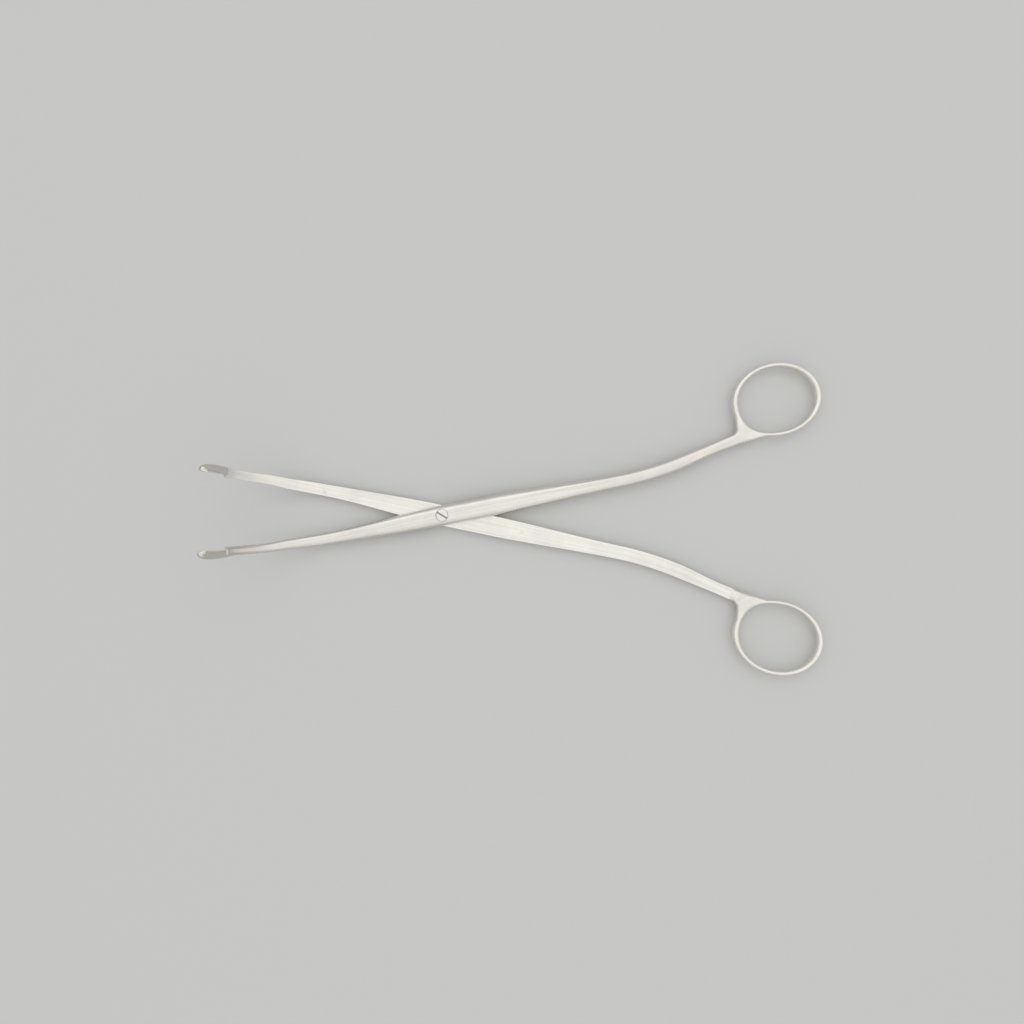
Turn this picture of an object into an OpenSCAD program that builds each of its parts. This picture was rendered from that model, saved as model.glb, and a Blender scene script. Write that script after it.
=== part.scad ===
// Kidney stone forceps
// Two crossed half-round arms turn on one slotted screw. Each arm ends in a finger ring
// behind and in an upturned, cupped and serrated jaw in front.
// The forceps lies flat with its rings towards +X and its jaws curving up at -X.

/* [Opening] */
// Angle between the two arms as the forceps lies
open_angle = 19; // [4:0.2:40]

/* [Joint] */
// Width of each arm at the screw
joint_w = 7.2; // [6.4:0.1:8.4]
// Height of each arm's half section at the screw
joint_h = 2.8; // [2.5:0.1:3.4]
// Gap between each arm and the parting plane at the screw
joint_gap = 0.05; // [0.03:0.01:0.1]
// Gap between each arm and the parting surface away from the screw
shank_gap = 0.12; // [0.08:0.01:0.2]
// Squareness of the arms' crown, 2 is an ellipse
crown_power = 2.7; // [2:0.1:4]

/* [Screw] */
// Diameter of the screw's head
head_d = 4.2; // [3.6:0.1:4.8]
// Height of the head below its domed top
head_h = 1.1; // [0.8:0.05:1.3]
// Rise of the domed top
head_rise = 0.25; // [0.1:0.05:0.35]
// Diameter of the screw's shank
screw_d = 3; // [2.4:0.1:3.2]
// Width of the driver slot
slot_w = 0.6; // [0.4:0.05:0.9]
// Depth of the driver slot from the top of the dome
slot_depth = 0.75; // [0.4:0.05:0.9]
// Direction of the driver slot
slot_angle = -30.6; // [-90:0.2:90]
// Clearance all round the shank in the arm that turns on it
turn_gap = 0.03; // [0.01:0.01:0.08]
// Clearance all round the head in its counterbore
head_gap = 0.12; // [0.05:0.01:0.25]

/* [Handle shanks] */
// Straight run behind the screw
shank_straight = 64; // [50:1:80]
// Radius of the outward bend before the ring
shank_bend_r = 123; // [80:1:180]
// Angle of the outward bend
shank_turn = 12.6; // [6:0.2:18]
// Straight run from the bend to the ring
neck_len = 19.35; // [14:0.05:28]
// Lean of the shank away from the middle plane at the screw
shank_lean = 1.94; // [0:0.02:3]
// Width of the shank
shank_w = 4.8; // [4:0.1:6]
// Height of the shank's half section
shank_h = 2.3; // [1.8:0.1:2.8]
// Width of the neck at the ring
neck_w = 3.7; // [3:0.1:4.4]
// Full height of the neck at the ring
neck_h = 2.6; // [2:0.1:3]
// Fillet in the crotch between the neck and the ring
crotch_r = 1.2; // [0.6:0.1:1.8]

/* [Finger rings] */
// Length of the finger hole
hole_len = 28; // [24:0.5:34]
// Width of the finger hole
hole_w = 23.2; // [20:0.2:28]
// Thickness of the ring at its two ends
ring_end_t = 2.25; // [1.8:0.05:3.4]
// Thickness of the ring at its two sides
ring_side_t = 1.55; // [1.4:0.05:2.6]
// Height of the ring
ring_h = 3.1; // [2.4:0.1:4]
// Tilt of the ring's long axis against the middle plane of the closed forceps
ring_tilt = 4.2; // [-5:0.2:15]
// Reach of the web that joins the ring to its neck
web_reach = 4.2; // [3:0.1:6]

/* [Front] */
// Straight run in front of the screw before the jaws start to rise
front_rise_start = 40; // [30:1:50]
// Radius of the upward curve
front_rise_r = 40; // [32:1:60]
// Length of the upward curve from its start to the step at the jaw
front_rise_len = 38; // [28:0.5:42]
// Width of the front where the upward curve starts
front_w = 4.15; // [3.4:0.05:5]
// Width of the front at the step
step_w = 3.15; // [2.6:0.05:4]
// Height of the front's half section where the upward curve starts
front_h = 1.95; // [1.6:0.05:2.4]
// Height of the front's half section at the step
step_h = 1.5; // [1.2:0.05:1.9]
// Lean of the front away from the middle plane at the screw
front_lean = 2.6; // [0:0.1:3.6]
// Straight run of the front before it bows back to the middle plane
front_straight = 29.5; // [20:0.5:40]
// Radius of that bow, seen from above
front_bow_r = 365; // [280:5:700]
// How far each front is set outwards on its way to the jaw
front_jog = 0.45; // [0:0.05:0.8]

/* [Jaws] */
// Length of the jaw along its curve
jaw_len = 10.5; // [9:0.5:14]
// Thickness of the jaw at its deepest, from teeth to back
jaw_depth = 2.9; // [2.6:0.1:3.6]
// Width of the jaw at its widest
jaw_w = 3.8; // [3.4:0.1:4.6]
// Gap between each jaw's teeth and the middle plane when the forceps is closed
jaw_gap = 0.1; // [0.05:0.01:0.3]
// How much wider that gap is at the root of the jaws, so that their tips meet first
root_relief = 0.65; // [0:0.05:0.8]
// How much each front widens on its outer side before its jaw
root_flare = 0.5; // [0:0.1:0.9]
// Clearance between the step and the root of the jaw that closes against it
step_gap = 0.2; // [0.1:0.05:0.4]
// Length of the cup in the jaw
cup_len = 7; // [5:0.2:7.6]
// Width of the cup
cup_w = 2.6; // [1.6:0.1:3]
// Depth of the cup
cup_depth = 1.1; // [0.4:0.1:1.6]
// Spacing of the jaw's teeth
tooth_pitch = 1; // [0.7:0.05:1.6]
// Depth of the teeth
tooth_depth = 0.28; // [0.1:0.02:0.45]
// Length of the rounded tip
nose_len = 2.6; // [1.4:0.1:3]
// How far the tip rounds back from the middle plane
nose_relief = 0.6; // [0:0.1:0.9]

/* [Hidden] */
$fn = 96;

steel = [0.80, 0.79, 0.76];
bright_steel = [0.86, 0.86, 0.85];

// Lengths of the joint's full width and of the tapers in front of it and behind it
joint_flat = 16;
rear_taper = 50;
front_taper = 46;
slim_taper = 19;
// Where the front's jog starts, and its run
jog_start = 54;
jog_run = 10;
// Where the neck's own taper starts, ahead of the ring, and its run
neck_taper = 24;
neck_taper_run = 18;
// Run over which the arms' faces part from the fitted gap to the free one
gap_start = 8;
gap_run = 12;
// How far the head's rim and the shank's end stay below the arms' crowns
flush_sink = 0.05;
// Play under the screw's head
head_play = 0.03;
// How far the milled flat stops short of the ring, and the run of its end
flat_stop = 2.6;
flat_runout = 1.4;
// How far the neck runs on inside the ring, and the front inside the jaw
neck_bury = 4;
root_bury = 1.6;
// How far ahead of the ring the fillet in the crotch starts
crotch_lead = 0.85;
// Run of the front's flare before the jaw, and how much of its size the front loses inside the jaw
flare_run = 3.5;
bury_loss = 0.35;

// Squareness of the ring's section, of its web and of the finger hole's corner at the web
ring_power = 2.3;
web_power = 3.4;
hole_power = 2.4;
// Directions from the ring's centre to the middle of its web and to the neck, against the
// ring's long axis, and the spread of the web to each side
web_dir = 215;
neck_dir = 212;
web_spread = 33;
// How much higher the web is than the neck that runs into it
web_extra = 0.25;

// Squareness of the jaw's back and of its rounded tip
back_power = 2.2;
nose_power = 2.5;
// Share of its deepest thickness that the jaw keeps at its tip, and where along it the cup lies
tip_share = 0.74;
cup_place = 0.47;

// Stations round the ring's web and round the rest of it, and points round its section
web_stations = 18;
loop_stations = 36;
ring_points = 12;
// Points over the crown and under the belly of an arm's section
crown_points = 12;
belly_points = 6;
// Points across the jaw's biting face and round its back
face_points = 10;
back_points = 9;

half_open = open_angle / 2;
bend_end = shank_straight + shank_bend_r * shank_turn * PI / 180;
neck_s = bend_end + neck_len;
step_s = front_rise_start + front_rise_len;

function mix(a, b, t) = a + (b - a) * t;
function ease(t) = t <= 0 ? 0 : t >= 1 ? 1 : t * t * (3 - 2 * t);
function ramp(t) = min(max(t, 0), 1);
function signed_pow(v, p) = sign(v) * pow(abs(v), p);
function polar(r, a) = [r * cos(a), r * sin(a)];
function reverse(list) = [for (i = [len(list) - 1:-1:0]) list[i]];
function spread(from, to, count) = [for (i = [0:count - 1]) mix(from, to, i / count)];

// Height of a crown of width w and height h, at a distance y from its middle
function crown_height(w, h, y) = h * pow(1 - pow(abs(2 * y / w), crown_power), 1 / crown_power);

// A line that starts at a heading, runs straight, bends once by an angle and runs on.
// side is 1 for a bend to the left and -1 for one to the right. Gives [x, y, heading].
function bent_line(d, heading, straight, radius, turn, side) =
    let (
        angle = min(max(d - straight, 0) / radius * 180 / PI, turn),
        beyond = max(d - straight - radius * turn * PI / 180, 0),
        last = heading + side * angle,
        start = polar(min(d, straight), heading),
        arc = side * radius * [sin(last) - sin(heading), cos(heading) - cos(last)],
        end = start + arc + polar(beyond, last)
    ) [end.x, end.y, last];

// The front seen from the side: reach ahead of the screw, rise and slope
function front_profile(d) =
    let (slope = max(d - front_rise_start, 0) / front_rise_r * 180 / PI)
    [min(d, front_rise_start) + front_rise_r * sin(slope), front_rise_r * (1 - cos(slope)), slope];

// Place, sideways direction and upward direction of the arm's section at a distance s from the
// screw, in the closed forceps: s is positive towards the ring and negative towards the jaw
function rear_frame(s) =
    let (line = bent_line(s, shank_lean, shank_straight, shank_bend_r, shank_turn, 1))
    [[line.x, line.y, 0], [-sin(line.z), cos(line.z), 0], [0, 0, 1]];
function front_frame(d) =
    let (
        side = front_profile(d),
        line = bent_line(side.x, front_lean, front_straight, front_bow_r, 90, -1)
    ) [
        [-line.x, -line.y - front_jog * ease((d - jog_start) / jog_run), side.y],
        [-sin(line.z), cos(line.z), 0],
        [cos(line.z) * sin(side.z), sin(line.z) * sin(side.z), cos(side.z)]
    ];
function arm_frame(s) = s >= 0 ? rear_frame(s) : front_frame(-s);

function buried_share(d) = 1 - bury_loss * ramp((d - step_s) / root_bury);

function rear_width(s) =
    let (shank = mix(joint_w, shank_w, ease((s - joint_flat) / rear_taper)))
    mix(shank, neck_w, ease((s - neck_s + neck_taper) / neck_taper_run));
function front_width(d) =
    mix(joint_w, front_w, ease(d / front_taper))
    + (step_w - front_w) * ramp((d - front_taper) / slim_taper);
function arm_width(s) = s >= 0 ? rear_width(s) : front_width(-s) * buried_share(-s);

function rear_height(s) =
    let (shank = mix(joint_h, shank_h, ease((s - joint_flat) / rear_taper)))
    mix(shank, neck_h / 2, ease((s - neck_s + neck_taper) / neck_taper_run));
function front_height(d) =
    mix(joint_h, front_h, ease(d / front_taper))
    + (step_h - front_h) * ramp((d - front_taper) / slim_taper);
function arm_height(s) = s >= 0 ? rear_height(s) : front_height(-s) * buried_share(-s);

// The neck widens on the ring's side only, by a quarter circle that dies away in the web
crotch_start = neck_s - crotch_lead;
function crotch_flare(s) =
    let (
        run = ramp((s - crotch_start) / crotch_r),
        fade = ramp((s - crotch_start - crotch_r) / neck_bury)
    ) crotch_r * (1 - sqrt(1 - run * run)) * (1 - fade);

// The front widens on its outer side only, towards the back of its jaw
function jaw_flare(d) = root_flare * ease((d - step_s + flare_run) / flare_run) * buried_share(d);

// Share of the full section: 0 where the inner side is milled flat, 1 in the neck
function full_share(s) = ease((s - neck_s + flat_stop) / flat_runout);
function arm_gap(s) =
    mix(joint_gap, shank_gap, ease((abs(s) - gap_start) / gap_run)) * (1 - full_share(s));

section_angles = concat(
    [for (i = [0:crown_points]) 180 * i / crown_points],
    [for (i = [1:belly_points - 1]) 180 + 180 * i / belly_points]
);

// One section of an arm. layer is 1 for the arm above the parting plane and -1 for the one below.
function arm_section(s, layer) =
    let (
        frame = arm_frame(s),
        flare = s > 0 ? crotch_flare(s) : -jaw_flare(-s),
        half_w = (arm_width(s) + abs(flare)) / 2,
        gap = arm_gap(s),
        up = arm_height(s) + joint_gap * (1 - full_share(s)) - gap,
        down = full_share(s) * neck_h / 2,
        points = [for (a = section_angles)
            let (
                y = flare / 2 + half_w * signed_pow(cos(a), 2 / crown_power),
                z = gap + (a <= 180 ? up : down) * signed_pow(sin(a), 2 / crown_power)
            ) frame[0] + frame[1] * y + frame[2] * layer * z]
    ) layer > 0 ? points : reverse(points);

arm_stations = concat(
    [-step_s - root_bury],
    spread(-step_s, -front_rise_start, 18),
    spread(-front_rise_start, 0, 9),
    spread(0, shank_straight, 12),
    spread(shank_straight, bend_end, 9),
    spread(bend_end, neck_s - flat_stop, 5),
    spread(neck_s - flat_stop, neck_s - flat_stop + flat_runout, 4),
    [neck_s - flat_stop + flat_runout],
    [for (a = [0:22.5:90]) crotch_start + crotch_r * sin(a)],
    [crotch_start + crotch_r + neck_bury]
);

// The finger ring: its hole, and its outside with the web drawn out towards the neck
function oval_radius(a, len, w, power) =
    pow(pow(abs(cos(a)) * 2 / len, power) + pow(abs(sin(a)) * 2 / w, power), -1 / power);
function hole_radius(a) = oval_radius(a, hole_len, hole_w, a > 180 && a < 270 ? hole_power : 2);
function web_share(a) = abs(a - web_dir) < web_spread ? pow(cos(90 * (a - web_dir) / web_spread), 3) : 0;
function outer_radius(a) =
    oval_radius(a, hole_len + 2 * ring_end_t, hole_w + 2 * ring_side_t, 2) + web_reach * web_share(a);

neck_end = rear_frame(neck_s)[0];
ring_middle = [neck_end.x, neck_end.y] - polar(outer_radius(neck_dir), neck_dir + ring_tilt);

ring_angles = concat(
    spread(web_dir - web_spread, web_dir + web_spread, web_stations),
    spread(web_dir + web_spread, web_dir - web_spread + 360, loop_stations)
);

function ring_section(a) =
    let (
        inner = hole_radius(a),
        outer = outer_radius(a),
        share = web_share(a),
        half_h = mix(ring_h, neck_h + web_extra, share) / 2,
        power = mix(ring_power, web_power, share)
    ) [for (i = [0:ring_points - 1])
        let (
            b = -360 * i / ring_points,
            r = (inner + outer) / 2 + (outer - inner) / 2 * signed_pow(cos(b), 2 / power),
            p = ring_middle + polar(r, a + ring_tilt)
        ) [p.x, p.y, half_h * signed_pow(sin(b), 2 / power)]];

// The jaw: a curved half-round bar whose flat side bites on the middle plane
function jaw_bulge(t) = sin(180 * ramp(t / jaw_len));
function nose_share(t) =
    let (run = ramp((t - jaw_len + nose_len) / nose_len))
    pow(1 - pow(run, nose_power), 1 / nose_power);
function jaw_half_w(t) =
    mix(step_h + joint_gap, jaw_w / 2, jaw_bulge(t)) * nose_share(t);
root_depth = step_w / 2 + root_flare - front_frame(step_s)[0].y - jaw_gap - root_relief;
function jaw_back(t) =
    let (straight = mix(root_depth, jaw_depth * tip_share, t / jaw_len))
    mix(straight, jaw_depth, jaw_bulge(t)) * nose_share(t);
function jaw_face(t) =
    jaw_gap + root_relief * (1 - t / jaw_len)
    + nose_relief * pow(ramp((t - jaw_len + nose_len) / nose_len), 2);
function cup_cut(t, n) =
    let (inside = 1 - pow((t - jaw_len * cup_place) * 2 / cup_len, 2) - pow(n * 2 / cup_w, 2))
    inside > 0 ? cup_depth * sqrt(inside) : 0;

tooth_count = floor((jaw_len - nose_len - step_gap) / tooth_pitch);
tooth_rows = [for (i = [0:2 * tooth_count]) [step_gap + i * tooth_pitch / 2, i % 2 == 0 ? 0 : tooth_depth]];
nose_rows = [for (a = [20:14:76]) [jaw_len - nose_len * (1 - sin(a)), 0]];

function jaw_section(t, notch) =
    let (
        side = front_profile(step_s + t),
        place = [-side.x, 0, side.y],
        up = [sin(side.z), 0, cos(side.z)],
        half_w = jaw_half_w(t),
        back = jaw_back(t),
        bite = [for (i = [0:face_points])
            let (n = half_w * (1 - 2 * i / face_points))
            [-jaw_face(t) - max(notch, cup_cut(t, n)), n]],
        round = [for (i = [1:back_points])
            let (a = -90 + 180 * i / (back_points + 1))
            [-jaw_face(t) - back * pow(cos(a), 2 / back_power), half_w * signed_pow(sin(a), 2 / back_power)]]
    ) [for (p = concat(bite, round)) place + [0, p.x, 0] + up * p.y];

// Skin over a row of sections that all have as many points. A closed skin joins its ends.
module skin(sections, closed = false) {
    rows = len(sections);
    cols = len(sections[0]);
    last_row = closed ? rows - 1 : rows - 2;
    sides = [for (r = [0:last_row], c = [0:cols - 1])
        let (
            a = r * cols + c,
            b = r * cols + (c + 1) % cols,
            d = (r + 1) % rows * cols + c,
            e = (r + 1) % rows * cols + (c + 1) % cols
        ) each [[a, d, e], [a, e, b]]];
    caps = closed ? [] : [
        [for (c = [0:cols - 1]) c],
        [for (c = [cols - 1:-1:0]) (rows - 1) * cols + c]
    ];
    polyhedron([for (s = sections, p = s) p], concat(sides, caps));
}

// Cuts away the half of the front, ahead of the step, that makes room for the other jaw
module step_cut() {
    side = front_profile(step_s);
    reach = 3 * root_bury;
    height = 4 * joint_h;
    translate([-side.x, -jaw_face(0), side.y])
        rotate([0, side.z, 0])
            translate([-reach, 0, -height / 2])
                cube([reach, step_w * 2, height]);
}

// Makes one skin of all that is forged together, at its own size
module forged() resize([0, 0, 0]) union() children();

// One arm of the closed forceps, with its ring on the +Y side
module arm_blank(layer) {
    forged() {
        difference() {
            skin([for (s = arm_stations) arm_section(s, layer)]);
            step_cut();
        }
        skin([for (row = concat(tooth_rows, nose_rows)) jaw_section(row[0], row[1])]);
        skin([for (a = ring_angles) ring_section(a % 360)], closed = true);
    }
}

head_rim = joint_gap + crown_height(joint_w, joint_h, head_d / 2) - flush_sink;
head_seat = head_rim - head_h;
shank_end = joint_gap + crown_height(joint_w, joint_h, screw_d / 2) - flush_sink;

module upper_arm() {
    color(steel)
        difference() {
            rotate([0, 0, half_open]) arm_blank(1);
            translate([0, 0, -joint_h]) cylinder(d = screw_d + 2 * turn_gap, h = 3 * joint_h);
            translate([0, 0, head_seat - head_play]) cylinder(d = head_d + 2 * head_gap, h = 2 * joint_h);
        }
}

module lower_arm() {
    color(steel)
        difference() {
            rotate([0, 0, -half_open]) mirror([0, 1, 0]) arm_blank(-1);
            translate([0, 0, -2 * joint_h]) cylinder(d = screw_d, h = 3 * joint_h);
        }
}

module pivot_screw() {
    dome_r = (pow(head_d / 2, 2) + pow(head_rise, 2)) / (2 * head_rise);
    color(bright_steel)
        difference() {
            union() {
                translate([0, 0, -shank_end]) cylinder(d = screw_d, h = shank_end + head_seat + head_h / 2);
                intersection() {
                    translate([0, 0, head_seat]) cylinder(d = head_d, h = head_h + head_rise);
                    translate([0, 0, head_rim + head_rise - dome_r]) sphere(r = dome_r);
                }
            }
            translate([0, 0, head_rim + head_rise - slot_depth])
                rotate([0, 0, slot_angle])
                    translate([-head_d, -slot_w / 2, 0])
                        cube([2 * head_d, slot_w, 2 * slot_depth]);
        }
}

// The forceps stands with its origin under the middle of its outline
function turned_x(p) = p.x * cos(half_open) - p.y * sin(half_open);
ring_reach = max([for (a = ring_angles) for (p = ring_section(a % 360)) turned_x(p)]);
jaw_reach = min([for (row = nose_rows) for (p = jaw_section(row[0], row[1])) turned_x(p)]);
screw_x = -(ring_reach + jaw_reach) / 2;
screw_z = joint_gap + joint_h;

module in_place() translate([screw_x, 0, screw_z]) children();

in_place() upper_arm();
in_place() lower_arm();
in_place() pivot_screw();
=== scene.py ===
import math

import bpy
import numpy as np
from mathutils import Matrix, Vector


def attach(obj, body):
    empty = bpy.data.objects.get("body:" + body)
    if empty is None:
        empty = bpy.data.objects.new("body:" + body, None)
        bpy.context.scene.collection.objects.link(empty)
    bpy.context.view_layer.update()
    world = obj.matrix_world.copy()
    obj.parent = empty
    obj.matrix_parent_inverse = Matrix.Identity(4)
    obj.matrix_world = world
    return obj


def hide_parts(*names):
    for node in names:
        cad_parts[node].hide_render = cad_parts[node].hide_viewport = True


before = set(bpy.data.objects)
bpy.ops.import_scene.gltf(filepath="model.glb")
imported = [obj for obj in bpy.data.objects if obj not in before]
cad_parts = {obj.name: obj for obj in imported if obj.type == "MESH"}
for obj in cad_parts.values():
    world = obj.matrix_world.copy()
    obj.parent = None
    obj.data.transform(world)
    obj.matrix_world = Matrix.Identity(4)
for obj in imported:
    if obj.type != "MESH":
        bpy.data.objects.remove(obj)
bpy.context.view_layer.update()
scene = bpy.context.scene
scene.view_settings.view_transform = "Standard"
print("frame loaded:", ", ".join(sorted(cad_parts)))


# camera: held straight over the forceps, a little towards -Y, leaning back by two degrees
cameraSetup = {
    "place": (-0.0039398, -0.0081275, 0.2682864),
    "turn": (2.058, 0.0687, 0.4222),
    "lens": 26.086,
}


def addCamera():
    data = bpy.data.cameras.new("overheadCamera")
    data.lens = cameraSetup["lens"]
    data.sensor_width = 36
    data.clip_start = 0.01
    data.clip_end = 20
    camera = bpy.data.objects.new("overheadCamera", data)
    camera.location = cameraSetup["place"]
    camera.rotation_euler = [math.radians(angle) for angle in cameraSetup["turn"]]
    scene.collection.objects.link(camera)
    scene.camera = camera


addCamera()
print("camera ready")


def addNode(tree, kind, settings=None, inputs=None):
    node = tree.nodes.new(kind)
    for name, value in (settings or {}).items():
        setattr(node, name, value)
    for name, value in (inputs or {}).items():
        if isinstance(value, bpy.types.NodeSocket):
            tree.links.new(value, node.inputs[name])
        else:
            node.inputs[name].default_value = value
    return node


def math2(tree, operation, first, second, clamp=False):
    settings = {"operation": operation, "use_clamp": clamp}
    return addNode(tree, "ShaderNodeMath", settings, {0: first, 1: second}).outputs[0]


def vectorMath(tree, operation, *vectors, output="Vector"):
    inputs = dict(enumerate(vectors))
    return addNode(tree, "ShaderNodeVectorMath", {"operation": operation}, inputs).outputs[output]


def remap(tree, value, fromLow, fromHigh, toLow=0.0, toHigh=1.0, smooth=False):
    kind = "SMOOTHSTEP" if smooth else "LINEAR"
    inputs = {"Value": value, "From Min": fromLow, "From Max": fromHigh, "To Min": toLow, "To Max": toHigh}
    return addNode(tree, "ShaderNodeMapRange", {"interpolation_type": kind}, inputs).outputs["Result"]


# a mask from 0 to 1, spread between two values
def spread(tree, mask, ends):
    return remap(tree, mask, 0.0, 1.0, *ends)


def noise(tree, vector, inputs):
    kind = "4D" if "W" in inputs else "3D"
    node = addNode(tree, "ShaderNodeTexNoise", {"noise_dimensions": kind}, {"Vector": vector, **inputs})
    return node.outputs["Fac"]


def mixColor(tree, share, first, second, blend="MIX"):
    settings = {"data_type": "RGBA", "blend_type": blend}
    return addNode(tree, "ShaderNodeMix", settings, {0: share, 6: first, 7: second}).outputs[2]


def mixFloat(tree, share, first, second):
    return addNode(tree, "ShaderNodeMix", {"data_type": "FLOAT"}, {0: share, 2: first, 3: second}).outputs[0]


def attribute(tree, name, output="Fac"):
    return addNode(tree, "ShaderNodeAttribute", {"attribute_name": name}).outputs[output]


def newGroup(name, inputs, output):
    group = bpy.data.node_groups.new(name, "ShaderNodeTree")
    for label, value in inputs.items():
        kind = "NodeSocketVector" if value is None else "NodeSocketFloat"
        socket = group.interface.new_socket(name=label, in_out="INPUT", socket_type=kind)
        if value is not None:
            socket.default_value = value
    group.interface.new_socket(name=output, in_out="OUTPUT", socket_type="NodeSocketFloat")
    return group, group.nodes.new("NodeGroupInput").outputs, group.nodes.new("NodeGroupOutput").inputs[0]


def useGroup(tree, group, inputs):
    return addNode(tree, "ShaderNodeGroup", {"node_tree": group}, inputs).outputs[0]


# fine marks drawn out along the first axis of Flow, in metres
def makeGrindMarks():
    inputs = {"Flow": None, "Length": 0.01, "Width": 0.0002, "Detail": 3.0, "Seed": 0.0}
    group, given, result = newGroup("grindMarks", inputs, "Marks")
    along = math2(group, "DIVIDE", 1.0, given["Length"])
    across = math2(group, "DIVIDE", 1.0, given["Width"])
    stretch = addNode(group, "ShaderNodeCombineXYZ", inputs={"X": along, "Y": across, "Z": across}).outputs[0]
    place = vectorMath(group, "MULTIPLY", given["Flow"], stretch)
    grain = {"W": given["Seed"], "Scale": 1.0, "Detail": given["Detail"], "Roughness": 0.6}
    group.links.new(remap(group, noise(group, place, grain), 0.25, 0.75), result)
    return group


# soft uneven patches left by handling
def makeHandledPatches():
    inputs = {"Vector": None, "Size": 0.01, "Seed": 0.0}
    group, given, result = newGroup("handledPatches", inputs, "Patches")
    scale = math2(group, "DIVIDE", 1.0, given["Size"])
    cloud = {"W": given["Seed"], "Scale": scale, "Detail": 4.0, "Roughness": 0.55, "Distortion": 0.4}
    patches = noise(group, given["Vector"], cloud)
    group.links.new(remap(group, patches, 0.35, 0.7, smooth=True), result)
    return group


# sparse hairline scratches that run across the marks: each angle in degrees has a seed of its own
scratchSetup = {
    "seeds": {14: 3.1, -21: 7.7, 52: 12.4},
    "perMetre": (420.0, 16000.0, 1500.0),
    "threshold": (0.76, 0.82),
}


def makeHairScratches():
    group, given, result = newGroup("hairScratches", {"Flow": None, "Amount": 0.5}, "Scratches")
    found = None
    for angle, seed in scratchSetup["seeds"].items():
        inputs = {"Vector": given["Flow"], "Angle": math.radians(angle)}
        turned = addNode(group, "ShaderNodeVectorRotate", {"rotation_type": "Z_AXIS"}, inputs).outputs[0]
        place = vectorMath(group, "MULTIPLY", turned, scratchSetup["perMetre"])
        line = noise(group, place, {"W": seed, "Scale": 1.0, "Detail": 0.0})
        line = remap(group, line, *scratchSetup["threshold"])
        found = line if found is None else math2(group, "MAXIMUM", found, line)
    group.links.new(math2(group, "MULTIPLY", found, given["Amount"]), result)
    return group


# one small rubbed spot with a ragged rim
def makeRubbedSpot():
    inputs = {"Vector": None, "Centre": None, "Radius": 0.001}
    group, given, result = newGroup("rubbedSpot", inputs, "Spot")
    wobble = noise(group, given["Vector"], {"Scale": 1400.0, "Detail": 2.0})
    away = vectorMath(group, "DISTANCE", given["Vector"], given["Centre"], output="Value")
    share = math2(group, "DIVIDE", away, given["Radius"])
    ragged = math2(group, "ADD", share, remap(group, wobble, 0.3, 0.7, -0.6, 0.6))
    group.links.new(remap(group, ragged, 0.5, 1.0, 1.0, 0.0, smooth=True), result)
    return group


grindMarks = makeGrindMarks()
handledPatches = makeHandledPatches()
hairScratches = makeHairScratches()
rubbedSpot = makeRubbedSpot()


def newMaterial(name):
    material = bpy.data.materials.new(name)
    material.use_nodes = True
    tree = material.node_tree
    tree.nodes.clear()
    shader = addNode(tree, "ShaderNodeBsdfPrincipled")
    output = addNode(tree, "ShaderNodeOutputMaterial")
    tree.links.new(shader.outputs[0], output.inputs["Surface"])
    return material, tree, shader


# a bare metal surface from its colour, roughness and relief
def finishMetal(tree, shader, color, roughness, height, relief):
    bump = addNode(tree, "ShaderNodeBump", inputs={**relief, "Height": height}).outputs[0]
    tree.links.new(color, shader.inputs["Base Color"])
    tree.links.new(roughness, shader.inputs["Roughness"])
    tree.links.new(bump, shader.inputs["Normal"])
    shader.inputs["Metallic"].default_value = 1.0


# the arms: polished crowns, satin milled faces and rings, edges brightened by wear and by a painted highlight,
# painted shade over the jaws, in creases and in the jaw's cup, a few real stains, and dull places where the
# stains and the painted shade lie. Each tone and roughness gives what its mask does at 0 and at 1
armSteel = {
    "crownColor": (0.80, 0.78, 0.72, 1),
    "faceColor": (0.88, 0.865, 0.80, 1),
    # the edge tone below brightens convex edges: worn polish with a painted highlight
    "edgeColor": (0.88, 0.87, 0.83, 1),
    # the dark tone below is painted shade in creases and in the jaw's cup, and real stain on the rubbed spots
    "stainAndShadeColor": (0.20, 0.19, 0.17, 1),
    "roughness": (0.28, 0.44),
    "ringSatin": 0.9,
    "edgeWearHighlight": 0.8,
    "fineMarks": {"Length": 0.012, "Width": 0.00016, "Detail": 3.0, "Seed": 1.0},
    "broadMarks": {"Length": 0.06, "Width": 0.0006, "Detail": 2.0, "Seed": 4.0},
    "patches": {"Size": 0.012, "Seed": 2.0},
    "specks": {"Size": 0.0007, "Seed": 6.0},
    # the jaw tone darkens the jaws as painted shade; the other tones are random grain and handling marks
    "tones": {"broad": (0.86, 1.06), "fine": (0.95, 1.04), "patches": (1.02, 0.95), "specks": (1.01, 0.97),
              "jaw": (1.0, 0.88)},
    "dullness": {"broad": (-0.04, 0.05), "patches": (-0.02, 0.05), "edge": (0.0, -0.10), "jaw": (0.0, -0.10)},
    # how much the painted shade of creases and cup, and the stains of the spots, darken and dull the steel
    "stainAndShadeDullness": 0.25,
    "creviceShade": 0.7,
    "spotDirt": 0.13,
    "cupShade": 0.75,
    "relief": {"Strength": 0.35, "Distance": 0.000012},
    "spots": [((-0.0716, 0.0081, 0.0028), 0.0010), ((-0.0004, -0.0061, 0.0028), 0.0007)],
}


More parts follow.
